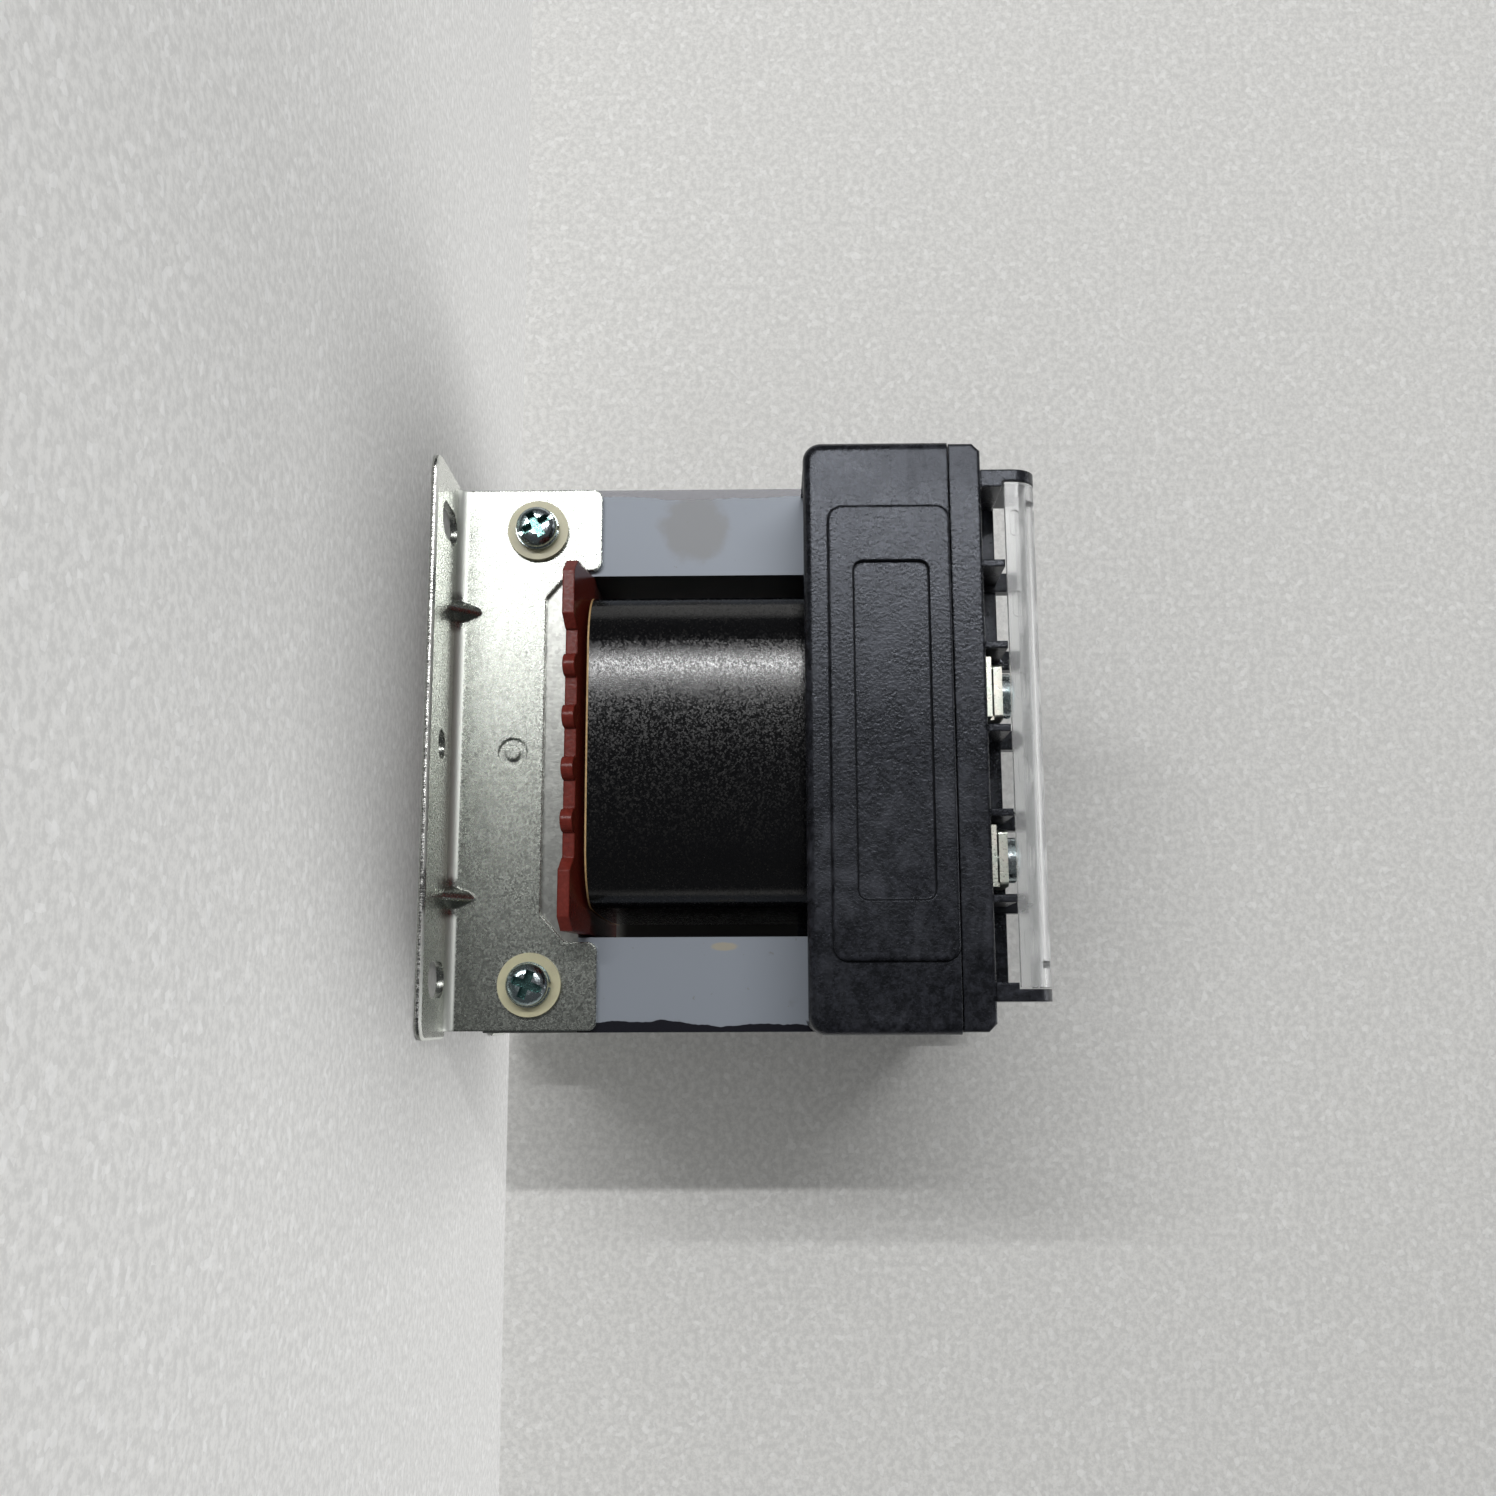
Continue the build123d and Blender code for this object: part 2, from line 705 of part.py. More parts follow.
with BuildPart() as front_cover:
    cover_front = row_front
    cover_back = row_back
    with BuildSketch(Plane.YZ) as cover_profile:
        with BuildLine():
            Polyline(
                (-cover_front, cover_bottom),
                (-cover_front, cover_top),
                (-cover_back, cover_top),
                (-cover_back, cover_top - cover_wall),
                (-cover_front + cover_wall, cover_top - cover_wall),
                (-cover_front + cover_wall, cover_bottom),
                close=True,
            )
        make_face()
        fillet(
            cover_profile.vertices().group_by(Axis.Y)[-1].sort_by(Axis.X)[0], radius=cover_round
        )
        fillet(
            cover_profile.vertices().group_by(Axis.Y)[-2].sort_by(Axis.X)[0],
            radius=cover_round - cover_wall,
        )
    extrude(amount=cover_side, both=True)
    with BuildSketch(Plane.XY.offset(cover_top)) as access_holes:
        with Locations((0, -terminal_y)):
            with GridLocations(row_pitch, 1, row_count, 1):
                Circle(cover_access / 2)
    extrude(amount=-cover_wall, mode=Mode.SUBTRACT)
    with BuildSketch(Plane.XY.offset(cover_top)) as notches:
        with Locations((0, -cover_front + cover_notch_depth / 2)):
            with GridLocations(2 * (cover_side - cover_notch_inset), 1, 2, 1):
                Rectangle(cover_notch_width, cover_notch_depth)
    extrude(amount=-cover_notch_height, mode=Mode.SUBTRACT)
    with BuildSketch(Plane.XZ.offset(cover_front)) as marks:
        with Locations((0, cover_bottom + cover_mark_height)):
            with GridLocations(row_pitch, 1, row_count, 1):
                SlotOverall(cover_mark_width, cover_mark_height)
    extrude(amount=-cover_mark_depth, mode=Mode.SUBTRACT)

with BuildPart() as rear_cover:
    mirror(front_cover.part, about=Plane.XZ)


# Labels and files

os.makedirs("parts", exist_ok=True)

e_laminations.part.label = "e_laminations"
export_step(e_laminations.part, "parts/e_laminations.step")
i_laminations.part.label = "i_laminations"
export_step(i_laminations.part, "parts/i_laminations.step")
front_bracket.part.label = "front_bracket"
export_step(front_bracket.part, "parts/front_bracket.step")
rear_bracket.part.label = "rear_bracket"
export_step(rear_bracket.part, "parts/rear_bracket.step")
core_screws.part.label = "core_screws"
export_step(core_screws.part, "parts/core_screws.step")
nylon_washers.part.label = "nylon_washers"
export_step(nylon_washers.part, "parts/nylon_washers.step")
spring_washers.part.label = "spring_washers"
export_step(spring_washers.part, "parts/spring_washers.step")
core_nuts.part.label = "core_nuts"
export_step(core_nuts.part, "parts/core_nuts.step")
bobbin.part.label = "bobbin"
export_step(bobbin.part, "parts/bobbin.step")
primary_winding.part.label = "primary_winding"
export_step(primary_winding.part, "parts/primary_winding.step")
winding_insulation.part.label = "winding_insulation"
export_step(winding_insulation.part, "parts/winding_insulation.step")
secondary_winding.part.label = "secondary_winding"
export_step(secondary_winding.part, "parts/secondary_winding.step")
coil_wrap.part.label = "coil_wrap"
export_step(coil_wrap.part, "parts/coil_wrap.step")
front_shroud.part.label = "front_shroud"
export_step(front_shroud.part, "parts/front_shroud.step")
rear_shroud.part.label = "rear_shroud"
export_step(rear_shroud.part, "parts/rear_shroud.step")
terminal_block.part.label = "terminal_block"
export_step(terminal_block.part, "parts/terminal_block.step")
terminal_contacts.part.label = "terminal_contacts"
export_step(terminal_contacts.part, "parts/terminal_contacts.step")
clamp_plates.part.label = "clamp_plates"
export_step(clamp_plates.part, "parts/clamp_plates.step")
terminal_screws.part.label = "terminal_screws"
export_step(terminal_screws.part, "parts/terminal_screws.step")
front_cover.part.label = "front_cover"
export_step(front_cover.part, "parts/front_cover.step")
rear_cover.part.label = "rear_cover"
export_step(rear_cover.part, "parts/rear_cover.step")
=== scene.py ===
"""Looks of a single phase transformer: finishes, the coil's paper rim, stage and camera."""

import math

import bpy
from mathutils import Matrix, Vector


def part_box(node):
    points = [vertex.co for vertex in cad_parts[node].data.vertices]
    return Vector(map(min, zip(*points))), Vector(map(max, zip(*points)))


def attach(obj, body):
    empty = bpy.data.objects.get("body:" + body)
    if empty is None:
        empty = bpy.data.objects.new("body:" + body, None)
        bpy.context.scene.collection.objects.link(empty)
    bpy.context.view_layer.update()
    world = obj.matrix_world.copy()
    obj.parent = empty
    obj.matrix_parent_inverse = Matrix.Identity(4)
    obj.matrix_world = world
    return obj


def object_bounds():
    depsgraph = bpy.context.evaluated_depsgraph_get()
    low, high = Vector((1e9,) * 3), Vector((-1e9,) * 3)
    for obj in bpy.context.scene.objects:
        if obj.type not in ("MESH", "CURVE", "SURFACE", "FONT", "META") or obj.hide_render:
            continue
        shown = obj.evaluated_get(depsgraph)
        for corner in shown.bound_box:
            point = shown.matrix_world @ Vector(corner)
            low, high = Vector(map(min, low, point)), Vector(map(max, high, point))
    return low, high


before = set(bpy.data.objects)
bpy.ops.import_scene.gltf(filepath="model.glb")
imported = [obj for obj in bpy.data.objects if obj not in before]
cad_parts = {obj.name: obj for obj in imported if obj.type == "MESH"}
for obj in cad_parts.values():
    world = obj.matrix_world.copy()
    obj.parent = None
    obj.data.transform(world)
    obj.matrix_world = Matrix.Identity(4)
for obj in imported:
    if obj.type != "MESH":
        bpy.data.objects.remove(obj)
CAD_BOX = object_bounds()

bl_info = {
    "name": "Single Phase Transformer Looks",
    "version": (1, 0, 0),
    "blender": (4, 5, 0),
    "location": "View3D > Sidebar > Transformer",
    "description": "Dresses the packed transformer with its finishes, stage and camera",
    "category": "Object",
}

BODY = "root"

# Thickness of one lamination, reach of its window walls, and where its face turns to varnish
LAMINATION = 0.0005
WINDOW_REACH = 0.034
VARNISH_START = 0.0464

# Dried marks on the core's front face: across, height, two reaches, colour, strength
FACE_STAINS = [
    (-0.0410, 0.0433, 0.0066, 0.0060, (0.185, 0.180, 0.172), 0.60),
    (0.0336, 0.0486, 0.0008, 0.0024, (0.36, 0.31, 0.20), 0.65),
]

# Middle of a bracket's pressed darts, and the torn band along its sheared edge
DART_PLACE = 0.0252
TORN_EDGE = 0.00025

# Painted highlight: near white zinc laid on faces that look up and on the bends
PAINTED_ZINC_SHEEN = (0.93, 0.95, 0.90)

# Clamp screws: distance from the middle, middle height, reach above and below it
SCREW_SPREAD = (0.040, 0.0476, 0.032)

# The driver's recess in a screw's head, whose tint also lies on the screw's end
RECESS_RADIUS = 0.0026
RECESS_TINT = (0.06, 0.19, 0.17)

# Half width of the coil's flat faces, and how much the film swells: gently and near the corners
COIL_FLAT = 0.0212
COIL_BULGE = (0.02375, 0.0340)

# Raised panel and sunk field of the head: middle height, half width, half height, corner
HEAD_PANELS = [
    (0.07624, 0.0370, 0.01000, 0.0024),
    (0.07640, 0.0275, 0.00610, 0.0016),
]

# Where all lights point
LIGHT_AIM = (0.0, 0.0, 0.05)

# Place and size of each light, with its longer side upright
LIGHTS = {
    "strip": ((-0.475, -1.15, 0.05), (0.018, 1.3)),
    "ceiling": ((-0.75, -0.95, 0.10), (1.1, 1.1)),
    "top": ((0.0, 0.25, 1.2), (0.8, 0.8)),
    "rear": ((0.3, 1.0, 0.75), (0.8, 0.8)),
}

# Tint of the even light all round
SKY_COLOUR = (0.93, 0.96, 1.0, 1.0)

# Side of the floor and of the backdrop
STAGE_SIZE = 4.0

# Painted shadow on the backdrop behind the gap beside the coil: middle, full and faded reaches
SHADE_MIDDLE = (0.0275, 0.0465)
SHADE_ACROSS = (0.0065, 0.0105)
SHADE_UPWARD = (0.021, 0.027)
SHADE_COLOUR = (0.016, 0.015, 0.014)


# Sizes and colours that a user would change

class StageSettings(bpy.types.PropertyGroup):
    """Floor, backdrop, lights and camera."""

    floor_colour: bpy.props.FloatVectorProperty(
        name="Floor", description="Colour of the floor and the backdrop",
        size=3, subtype="COLOR", default=(0.79, 0.785, 0.765),
    )
    backdrop_gap: bpy.props.FloatProperty(
        name="Backdrop gap", description="From the rear of the object to the backdrop",
        default=0.004, unit="LENGTH",
    )
    focal_length: bpy.props.FloatProperty(
        name="Focal length", description="Camera lens in millimetres", default=36.69,
    )
    camera_place: bpy.props.FloatVectorProperty(
        name="Camera place", description="Where the camera stands",
        size=3, subtype="TRANSLATION", unit="LENGTH", default=(0.0453, -0.28467, 0.05626),
    )
    camera_forward: bpy.props.FloatVectorProperty(
        name="Camera aim", description="Direction in which the camera looks",
        size=3, subtype="DIRECTION", default=(-0.1730, 0.9848, -0.0131),
    )
    camera_right: bpy.props.FloatVectorProperty(
        name="Camera right", description="Direction of the picture's right side",
        size=3, subtype="DIRECTION", default=(0.0040, 0.0140, 0.9999),
    )
    strip_power: bpy.props.FloatProperty(
        name="Strip light", description="Power of the long narrow light", default=8.5, subtype="POWER",
    )
    ceiling_power: bpy.props.FloatProperty(
        name="Ceiling", description="Power of the wide soft light", default=2.6, subtype="POWER",
    )
    top_power: bpy.props.FloatProperty(
        name="Top light", description="Power of the soft light above", default=8.6, subtype="POWER",
    )
    rear_power: bpy.props.FloatProperty(
        name="Rear light", description="Power of the soft light behind", default=5.0, subtype="POWER",
    )
    sky_strength: bpy.props.FloatProperty(
        name="Sky", description="Strength of the even light all round", default=0.09,
    )
    sky_seen: bpy.props.FloatProperty(
        name="Sky seen", description="Brightness of the sky where the camera sees it", default=0.55,
    )


class FinishSettings(bpy.types.PropertyGroup):
    """Colours of the object's own finishes, and the paper rim's sizes."""

    zinc: bpy.props.FloatVectorProperty(
        name="Zinc plate", description="Plated sheet of the foot brackets",
        size=3, subtype="COLOR", default=(0.375, 0.39, 0.362),
    )
    lamination_coat: bpy.props.FloatVectorProperty(
        name="Lamination coat", description="Grey coating of the core's front and rear faces",
        size=3, subtype="COLOR", default=(0.235, 0.26, 0.30),
    )
    bare_steel: bpy.props.FloatVectorProperty(
        name="Bare steel", description="Uncoated laminations below the coil",
        size=3, subtype="COLOR", default=(0.36, 0.365, 0.345),
    )
    varnish: bpy.props.FloatVectorProperty(
        name="Varnish", description="Dark impregnating varnish at the core's edges",
        size=3, subtype="COLOR", default=(0.012, 0.012, 0.018),
    )
    bobbin_red: bpy.props.FloatVectorProperty(
        name="Bobbin", description="Moulded bobbin", size=3, subtype="COLOR",
        default=(0.180, 0.026, 0.018),
    )
    film_black: bpy.props.FloatVectorProperty(
        name="Coil film", description="Black film round the coil", size=3, subtype="COLOR",
        default=(0.0015, 0.0015, 0.0020),
    )
    head_black: bpy.props.FloatVectorProperty(
        name="Head plastic", description="Black moulded head", size=3, subtype="COLOR",
        default=(0.0065, 0.0068, 0.0085),
    )
    nylon: bpy.props.FloatVectorProperty(
        name="Nylon", description="Washers below the screw heads", size=3, subtype="COLOR",
        default=(0.74, 0.70, 0.46),
    )
    screw_steel: bpy.props.FloatVectorProperty(
        name="Screw steel", description="Bright plated screws", size=3, subtype="COLOR",
        default=(0.55, 0.60, 0.62),
    )
    tinned: bpy.props.FloatVectorProperty(
        name="Tin plate", description="Clamp plates and contacts", size=3, subtype="COLOR",
        default=(0.70, 0.67, 0.60),
    )
    copper: bpy.props.FloatVectorProperty(
        name="Copper wire", description="Enamelled winding wire", size=3, subtype="COLOR",
        default=(0.50, 0.17, 0.06),
    )
    paper: bpy.props.FloatVectorProperty(
        name="Paper", description="Insulating paper", size=3, subtype="COLOR",
        default=(0.52, 0.34, 0.15),
    )
    rim_height: bpy.props.FloatProperty(
        name="Paper rim height", description="How far the paper shows above the bobbin's flange",
        default=0.00022, unit="LENGTH",
    )
    rim_reach: bpy.props.FloatProperty(
        name="Paper rim reach", description="How far the paper stands out from the film",
        default=0.00005, unit="LENGTH",
    )
    cover_tint: bpy.props.FloatVectorProperty(
        name="Cover tint", description="Clear plastic of the covers", size=3, subtype="COLOR",
        default=(0.90, 0.91, 0.91),
    )


# Shader helpers

class Graph:
    """Short calls for the nodes of a material or a node group."""

    def __init__(self, tree):
        self.nodes = tree.nodes
        self.links = tree.links

    def add(self, kind, inputs=None, **settings):
        node = self.nodes.new(kind)
        for name, value in settings.items():
            setattr(node, name, value)
        for name, value in (inputs or {}).items():
            socket = node.inputs[name]
            if isinstance(value, bpy.types.NodeSocket):
                self.links.new(value, socket)
            else:
                socket.default_value = value
        return node

    def place(self):
        return self.add("ShaderNodeTexCoord").outputs["Object"]

    def mapped(self, vector, scale):
        return self.add("ShaderNodeMapping", {"Vector": vector, "Scale": scale}).outputs["Vector"]

    def noise(self, vector, scale, detail=3.0, roughness=0.55, distortion=0.0):
        return self.add("ShaderNodeTexNoise", {
            "Vector": vector, "Scale": scale, "Detail": detail,
            "Roughness": roughness, "Distortion": distortion,
        }).outputs["Fac"]

    def cells(self, vector, scale):
        """Grains with an even random tone each."""
        cells = self.add("ShaderNodeTexVoronoi", {"Vector": vector, "Scale": scale})
        return self.add("ShaderNodeSeparateColor", {"Color": cells.outputs["Color"]}).outputs[0]

    def spread(self, value, low, high, to_low=0.0, to_high=1.0, smooth=True):
        return self.add("ShaderNodeMapRange", {
            "Value": value, "From Min": low, "From Max": high, "To Min": to_low, "To Max": to_high,
        }, interpolation_type="SMOOTHSTEP" if smooth else "LINEAR").outputs["Result"]

    def math(self, operation, first, second=0.0):
        node = self.add("ShaderNodeMath", operation=operation)
        for socket, value in zip(node.inputs, (first, second)):
            if isinstance(value, bpy.types.NodeSocket):
                self.links.new(value, socket)
            else:
                socket.default_value = value
        return node.outputs[0]

    def mix(self, factor, first, second):
        """A blend of two colours, which this node keeps at its sockets 6 and 7."""
        node = self.add("ShaderNodeMix", data_type="RGBA")
        for socket, value in (
            (node.inputs[0], factor), (node.inputs[6], first), (node.inputs[7], second),
        ):
            if isinstance(value, bpy.types.NodeSocket):
                self.links.new(value, socket)
            elif isinstance(value, float):
                socket.default_value = value
            else:
                socket.default_value = (*value[:3], 1.0)
        return node.outputs[2]

    def offset(self, value, middle):
        """Distance to either side of a middle."""
        return self.math("ABSOLUTE", self.math("SUBTRACT", value, middle))

    def reach(self, across, upward):
        """Distance in a plane from its two parts."""
        across = self.math("MULTIPLY", across, across)
        upward = self.math("MULTIPLY", upward, upward)
        return self.math("SQRT", self.math("ADD", across, upward))

    def facing(self, axis):
        """One part of the surface's own direction: 0 across, 1 through the core, 2 up."""
        return self.split(self.add("ShaderNodeNewGeometry").outputs["Normal"])[axis]

    def split(self, vector):
        return self.add("ShaderNodeSeparateXYZ", {"Vector": vector}).outputs

    def bump(self, height, strength, distance, normal=None):
        inputs = {"Height": height, "Strength": strength, "Distance": distance}
        if normal is not None:
            inputs["Normal"] = normal
        return self.add("ShaderNodeBump", inputs).outputs["Normal"]

    def worn_edges(self, radius):
        """A normal that rounds sharp edges over this radius."""
        return self.add("ShaderNodeBevel", {"Radius": radius}, samples=6).outputs["Normal"]

    def group(self, tree, **inputs):
        node = self.add("ShaderNodeGroup", node_tree=tree)
        for name, value in inputs.items():
            socket = node.inputs[name.replace("_", " ").capitalize()]
            if isinstance(value, bpy.types.NodeSocket):
                self.links.new(value, socket)
            else:
                socket.default_value = value
        return node.outputs


def new_material(name):
    """A material with an empty graph, its Principled shader and its output."""
    material = bpy.data.materials.new(name)
    material.use_nodes = True
    graph = Graph(material.node_tree)
    graph.nodes.clear()
    shader = graph.add("ShaderNodeBsdfPrincipled")
    output = graph.add("ShaderNodeOutputMaterial")
    graph.links.new(shader.outputs[0], output.inputs["Surface"])
    return material, graph, shader


def feed(graph, shader, **sockets):
    """Sets or links the named sockets of a shader."""
    for name, value in sockets.items():
        socket = shader.inputs[name.replace("_", " ")]
        if isinstance(value, bpy.types.NodeSocket):
            graph.links.new(value, socket)
        elif hasattr(value, "__len__"):
            socket.default_value = (*value[:3], 1.0)
        else:
            socket.default_value = value


def new_group(name, inputs, outputs):
    """An empty node group with float inputs and outputs."""
    tree = bpy.data.node_groups.new(name, "ShaderNodeTree")
    for socket, default in inputs.items():
        item = tree.interface.new_socket(socket, in_out="INPUT", socket_type="NodeSocketFloat")
        item.default_value = default
    for socket in outputs:
        tree.interface.new_socket(socket, in_out="OUTPUT", socket_type="NodeSocketFloat")
    graph = Graph(tree)
    entry = graph.add("NodeGroupInput")
    leave = graph.add("NodeGroupOutput")
    return tree, graph, entry.outputs, leave.inputs


def make_blotch_group():
    """Soft irregular patches, such as stains, smudges and plating clouds."""
    tree, graph, entry, leave = new_group(
        "Blotches", {"Scale": 60.0, "Low": 0.45, "High": 0.62, "Seed": 0.0}, ["Mask"],
    )
    shifted = graph.add("ShaderNodeVectorMath", {0: graph.place()}, operation="ADD")
    graph.links.new(entry["Seed"], shifted.inputs[1])
    noise = graph.noise(shifted.outputs[0], entry["Scale"], detail=5.0, roughness=0.6)
    graph.links.new(graph.spread(noise, entry["Low"], entry["High"]), leave["Mask"])
    return tree


def make_speckle_group():
    """Fine grain: bright and dark points on plated sheet, film and moulded plastic."""
    tree, graph, entry, leave = new_group(
        "Speckle", {"Scale": 3000.0, "Low": 0.3, "High": 0.7}, ["Grain", "Cells"],
    )
    place = graph.place()
    noise = graph.noise(place, entry["Scale"], detail=2.0, roughness=0.6)
    graph.links.new(graph.spread(noise, entry["Low"], entry["High"]), leave["Grain"])
    cells = graph.cells(place, graph.math("MULTIPLY", entry["Scale"], 0.7))
    graph.links.new(cells, leave["Cells"])
    return tree


def make_rim_group():
    """A band beyond a distance from the middle plane, with a wavering edge."""
    tree, graph, entry, leave = new_group(
        "Rim", {"Along": 0.0, "Start": 0.047, "Soft": 0.0003, "Waver": 0.001, "Scale": 120.0},
        ["Mask"],
    )
    wave = graph.noise(graph.place(), entry["Scale"], detail=4.0)
    wave = graph.math("MULTIPLY", graph.math("SUBTRACT", wave, 0.5), entry["Waver"])
    reach = graph.math("ADD", graph.math("ABSOLUTE", entry["Along"]), wave)
    mask = graph.spread(
        reach, entry["Start"], graph.math("ADD", entry["Start"], entry["Soft"]),
    )
    graph.links.new(mask, leave["Mask"])
    return tree


def make_strata_group():
    """Fine stacked lines, as on the edges of laminations and on wound film."""
    tree, graph, entry, leave = new_group(
        "Strata", {"Along": 0.0, "Pitch": 0.0005, "Uneven": 0.35}, ["Lines", "Tone"],
    )
    step = graph.math("DIVIDE", entry["Along"], entry["Pitch"])
    drift = graph.noise(graph.place(), 180.0, detail=3.0)
    step = graph.math("ADD", step, graph.math("MULTIPLY", drift, entry["Uneven"]))
    saw = graph.math("FRACT", step)
    line = graph.math("ABSOLUTE", graph.math("SUBTRACT", saw, 0.5))
    graph.links.new(graph.spread(line, 0.34, 0.5, 1.0, 0.0), leave["Lines"])
    sheet = graph.math("FLOOR", step)
    tone = graph.add("ShaderNodeTexWhiteNoise", {"W": sheet}, noise_dimensions="1D").outputs["Value"]
    graph.links.new(tone, leave["Tone"])
    return tree


def make_outline_group():
    """A thin line along a rounded rectangle, such as the foot of a raised or sunk panel."""
    tree, graph, entry, leave = new_group(
        "Outline", {"Along": 0.0, "Rise": 0.0, "Half width": 0.03, "Half height": 0.01,
                    "Corner": 0.002, "Line": 0.0002}, ["Mask"],
    )
    flat = graph.math("SUBTRACT", graph.math("ABSOLUTE", entry["Along"]),
                      graph.math("SUBTRACT", entry["Half width"], entry["Corner"]))
    tall = graph.math("SUBTRACT", graph.math("ABSOLUTE", entry["Rise"]),
                      graph.math("SUBTRACT", entry["Half height"], entry["Corner"]))
    outside = graph.reach(graph.math("MAXIMUM", flat, 0.0), graph.math("MAXIMUM", tall, 0.0))
    within = graph.math("MINIMUM", graph.math("MAXIMUM", flat, tall), 0.0)
    reach = graph.math("SUBTRACT", graph.math("ADD", outside, within), entry["Corner"])
    line = graph.spread(graph.math("ABSOLUTE", reach), 0.0, entry["Line"], 1.0, 0.0)
    graph.links.new(line, leave["Mask"])
    return tree


GROUPS = {}


def effect(name):
    """The shared effect of this name, built the first time it is asked for."""
    makers = {
        "blotch": make_blotch_group, "speckle": make_speckle_group,
        "rim": make_rim_group, "strata": make_strata_group, "outline": make_outline_group,
    }
    if name not in GROUPS:
        GROUPS[name] = makers[name]()
    return GROUPS[name]


# Finishes

def plated_sheet(colour):
    """Zinc plated sheet: fine spangle, cloudy tone, rough sheared edges at the feet, and a painted
    highlight on faces that look up and on the bends.
    """
    material, graph, shader = new_material("zinc_sheet")
    place = graph.place()
    axes = graph.split(place)
    speckle = graph.group(effect("speckle"), scale=6200.0, low=0.25, high=0.75)
    clouds = graph.group(effect("blotch"), scale=28.0, low=0.35, high=0.68)["Mask"]
    base = graph.mix(speckle["Cells"], [c * 0.70 for c in colour], [c * 1.28 for c in colour])
    base = graph.mix(clouds, base, graph.mix(0.35, base, (0.36, 0.38, 0.33)))
    upward = graph.facing(2)
    # Painted highlight: faces that look up are made near white zinc
    base = graph.mix(graph.spread(upward, 0.3, 0.9), base, PAINTED_ZINC_SHEEN)
    foot_edge = abs(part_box("front_bracket")[0][1])
    edge = graph.spread(
        graph.math("ABSOLUTE", axes[1]), foot_edge - TORN_EDGE, foot_edge - TORN_EDGE * 0.4,
    )
    grain = graph.noise(graph.mapped(place, scale=(1.0, 1.0, 0.12)), 3600.0, detail=3.0)
    torn = graph.mix(graph.spread(grain, 0.42, 0.56), (0.20, 0.20, 0.19), (0.90, 0.90, 0.86))
    base = graph.mix(edge, base, torn)
    rough = graph.spread(speckle["Cells"], 0.0, 1.0, 0.21, 0.30, smooth=False)
    bend = graph.math("MULTIPLY", graph.spread(upward, 0.10, 0.35),
                      graph.spread(upward, 0.90, 0.99, 1.0, 0.0))
    from_dart = graph.offset(graph.math("ABSOLUTE", axes[0]), DART_PLACE)
    bend = graph.math("MULTIPLY", bend, graph.spread(from_dart, 0.0026, 0.0040))
    # Painted highlight: the bends away from the darts are made near white zinc
    base = graph.mix(bend, base, PAINTED_ZINC_SHEEN)
    rough = graph.math("ADD", rough, graph.math("MULTIPLY", bend, 0.30))
    height = graph.math("ADD", speckle["Grain"],
                        graph.math("MULTIPLY", graph.math("MULTIPLY", grain, edge), 3.0))
    feed(graph, shader, Base_Color=base, Metallic=1.0, Roughness=rough,
         Normal=graph.bump(height, 0.25, 0.00003, graph.worn_edges(0.0004)))
    return material


def coated_laminations(colour, varnish):
    """Grey coated faces, black varnish at the outer edges, stacked sheets on the sides."""
    material, graph, shader = new_material("lamination_coated")
    axes = graph.split(graph.place())
    through = graph.facing(1)
    face = graph.spread(graph.math("ABSOLUTE", through), 0.5, 0.8)
    strata = graph.group(effect("strata"), along=axes[1], pitch=LAMINATION, uneven=0.5)
    stain = graph.group(effect("blotch"), scale=55.0, low=0.60, high=0.68, seed=3.1)["Mask"]
    dirt = graph.group(effect("blotch"), scale=700.0, low=0.68, high=0.74, seed=1.7)["Mask"]
    front = graph.mix(graph.math("MULTIPLY", stain, 0.45), colour, (0.155, 0.15, 0.14))
    front = graph.mix(graph.math("MULTIPLY", dirt, 0.5), front, (0.14, 0.12, 0.09))
    wander = graph.noise(graph.place(), 260.0, detail=4.0)
    seen = graph.spread(through, -0.8, -0.5, 1.0, 0.0)
    for x, z, reach_x, reach_z, tone, amount in FACE_STAINS:
        across = graph.math("DIVIDE", graph.math("SUBTRACT", axes[0], x), reach_x)
        upward = graph.math("DIVIDE", graph.math("SUBTRACT", axes[2], z), reach_z)
        far = graph.math("ADD", graph.reach(across, upward), graph.math("MULTIPLY", wander, 0.8))
        patch = graph.spread(far, 1.15, 1.55, amount, 0.0)
        front = graph.mix(graph.math("MULTIPLY", patch, seen), front, tone)
    rim = graph.group(effect("rim"), along=axes[0], start=VARNISH_START, soft=0.00015,
                      waver=0.0030, scale=110.0)["Mask"]
    front = graph.mix(rim, front, varnish)
    edges = graph.mix(strata["Lines"], (0.02, 0.02, 0.024), (0.13, 0.13, 0.135))
    edges = graph.mix(graph.math("MULTIPLY", strata["Tone"], 0.5), edges, (0.26, 0.26, 0.26))
    drip = graph.group(effect("blotch"), scale=75.0, low=0.42, high=0.60, seed=8.0)["Mask"]
    edges = graph.mix(graph.math("MULTIPLY", drip, 0.30), edges, varnish)
    # The walls of the windows beside the coil are made nearly black
    inside = graph.spread(graph.math("ABSOLUTE", axes[0]), WINDOW_REACH, WINDOW_REACH - 0.001)
    edges = graph.mix(graph.math("MULTIPLY", inside, 0.92), edges, varnish)
    base = graph.mix(face, edges, front)
    rough = graph.spread(face, 0.0, 1.0, 0.38, 0.46, smooth=False)
    rough = graph.math("SUBTRACT", rough, graph.math("MULTIPLY", rim, 0.25))
    height = graph.math("MULTIPLY", strata["Lines"], graph.math("SUBTRACT", 1.0, face))
    feed(graph, shader, Base_Color=base, Metallic=0.25, Roughness=rough,
         Normal=graph.bump(height, 0.5, 0.0001))
    return material


